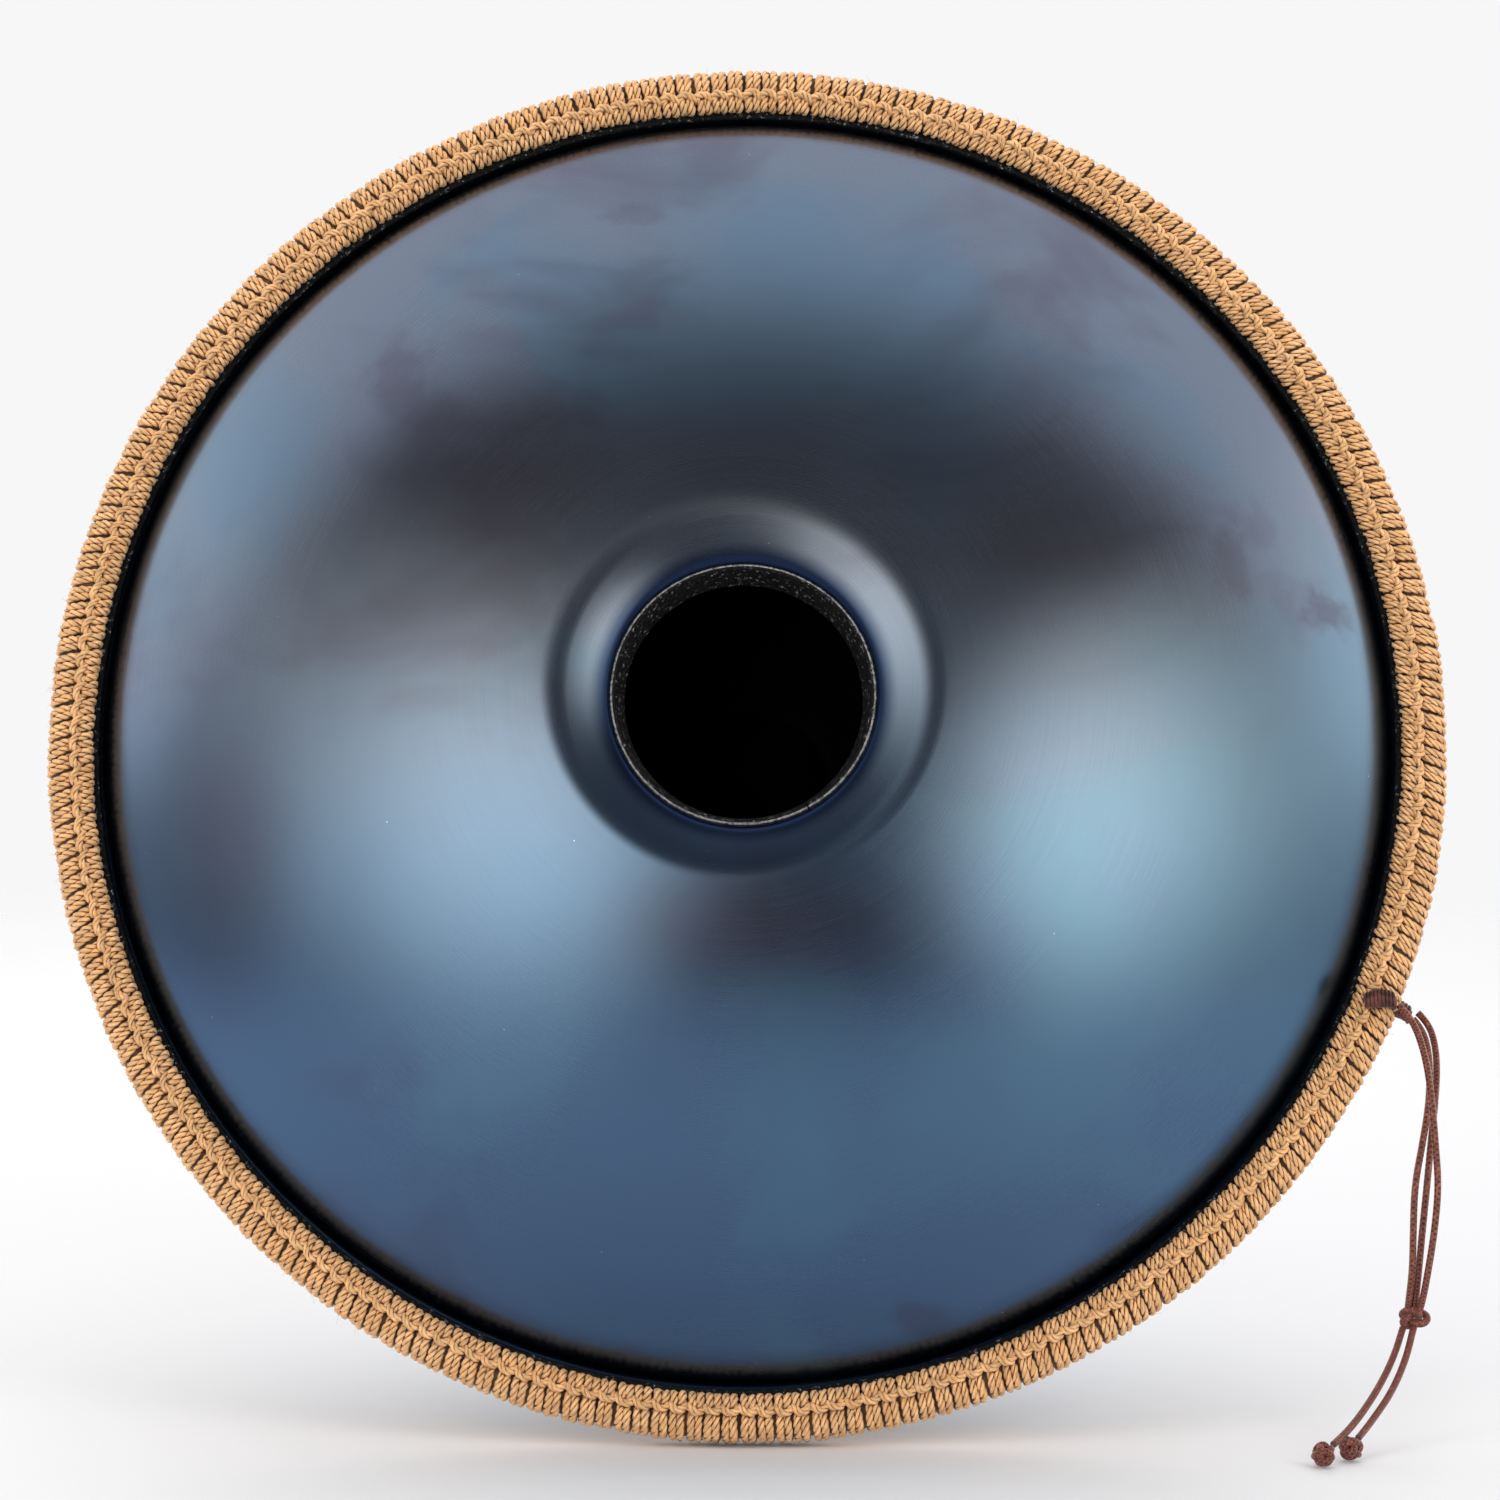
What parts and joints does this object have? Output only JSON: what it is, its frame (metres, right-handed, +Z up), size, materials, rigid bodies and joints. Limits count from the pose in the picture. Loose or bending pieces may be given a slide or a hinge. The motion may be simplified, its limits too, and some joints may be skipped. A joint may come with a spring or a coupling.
{
  "type": "handpan",
  "caption": "Two-shell steel pan with a central sound port, knotted jute rim binding and a knotted satin tie, standing on its rim.",
  "frame": {"origin": "the point where the jute binding touches the floor, as the pan stands on its rim leaning back", "axes": "+Z up, -Y towards the side with the sound port, +X to the side with the satin tie"},
  "size_m": [0.56, 0.253, 0.5397],
  "materials": {
    "nitrided_steel": "satin heat-blued, faint brush lines",
    "adhesive": "dull",
    "edge_trim": "leather-grained, semi-matt",
    "jute_twine": "coarse twisted fibre",
    "satin_cord": "satin weave"
  },
  "bodies": {
    "root": {"bottom_shell": "nitrided_steel", "top_shell": "nitrided_steel", "flange_adhesive": "adhesive", "rim_edge_trim": "edge_trim", "port_edge_trim": "edge_trim", "jute_binding": "jute_twine", "front_coil_knot": "satin_cord", "back_coil_knot": "satin_cord", "tie_strand_front": "satin_cord", "tie_strand_back_inner": "satin_cord", "tie_strand_back_outer": "satin_cord", "gather_knot": "satin_cord", "tie_tail_left": "satin_cord", "tie_tail_right": "satin_cord", "button_knot_left": "satin_cord", "button_knot_right": "satin_cord"}
  },
  "joints": []
}
